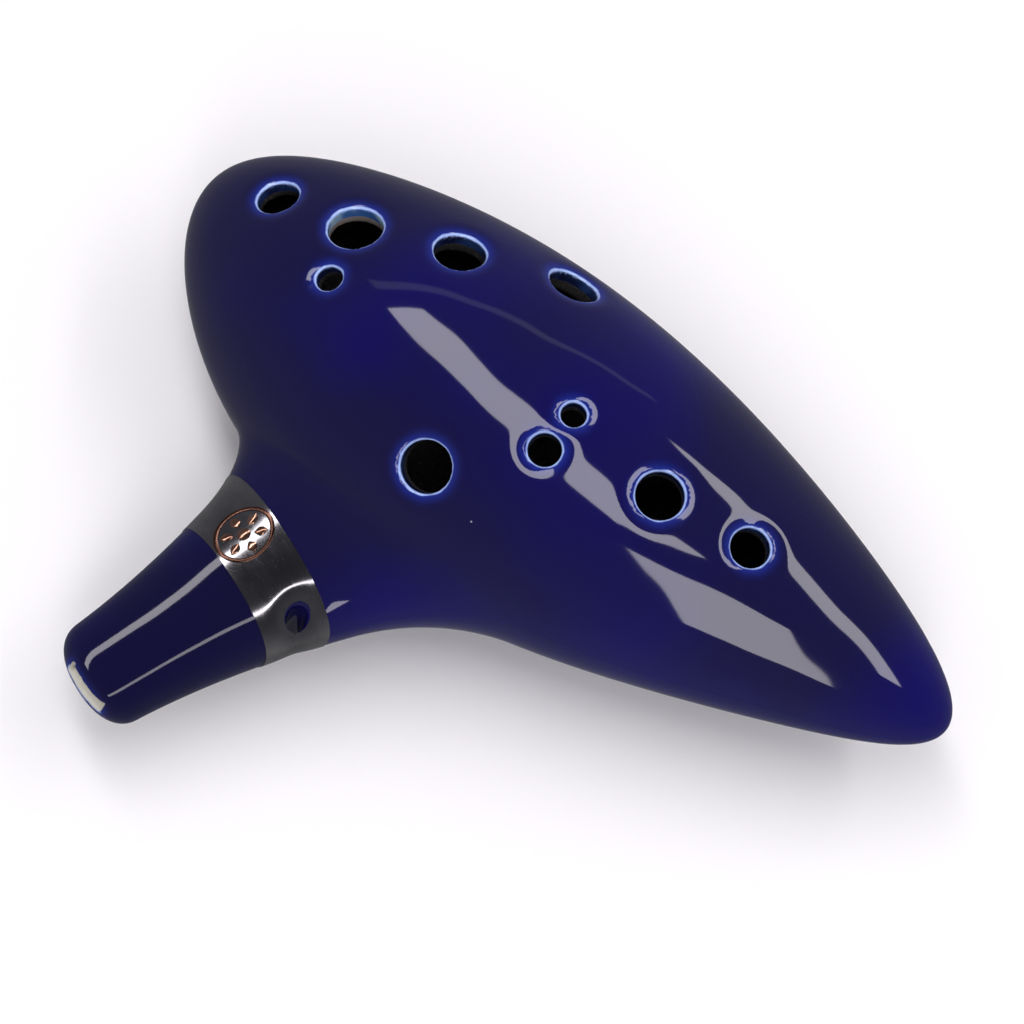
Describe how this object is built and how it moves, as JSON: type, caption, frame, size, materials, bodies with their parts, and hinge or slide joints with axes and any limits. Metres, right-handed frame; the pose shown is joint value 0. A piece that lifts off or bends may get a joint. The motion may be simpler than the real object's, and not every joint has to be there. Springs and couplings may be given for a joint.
{
  "type": "ocarina",
  "caption": "Transverse ocarina with an egg-shaped chamber, round finger and thumb holes, a flattened side mouthpiece, and a lustre band and rosette on its neck.",
  "frame": {"origin": "on the flat that the back rests on, under the chamber's axis", "axes": "+X along the chamber from its blunt end to its tail, +Z out of the finger-hole face, -Y towards the mouthpiece"},
  "size_m": [0.1698, 0.1185, 0.0519],
  "materials": {
    "glaze": "high gloss, deep cobalt blue",
    "lustre": "dark silvery metal lustre, slightly brushed",
    "copper": "copper-coloured metal lustre"
  },
  "bodies": {
    "root": {"front_shell": "glaze", "back_shell": "glaze", "mouthpiece": "glaze", "silver_band": "lustre", "rosette_ring": "copper", "rosette_centre": "copper", "rosette_petal_1": "copper", "rosette_petal_2": "copper", "rosette_petal_3": "copper", "rosette_petal_4": "copper", "rosette_petal_5": "copper", "rosette_petal_6": "copper"}
  },
  "joints": []
}
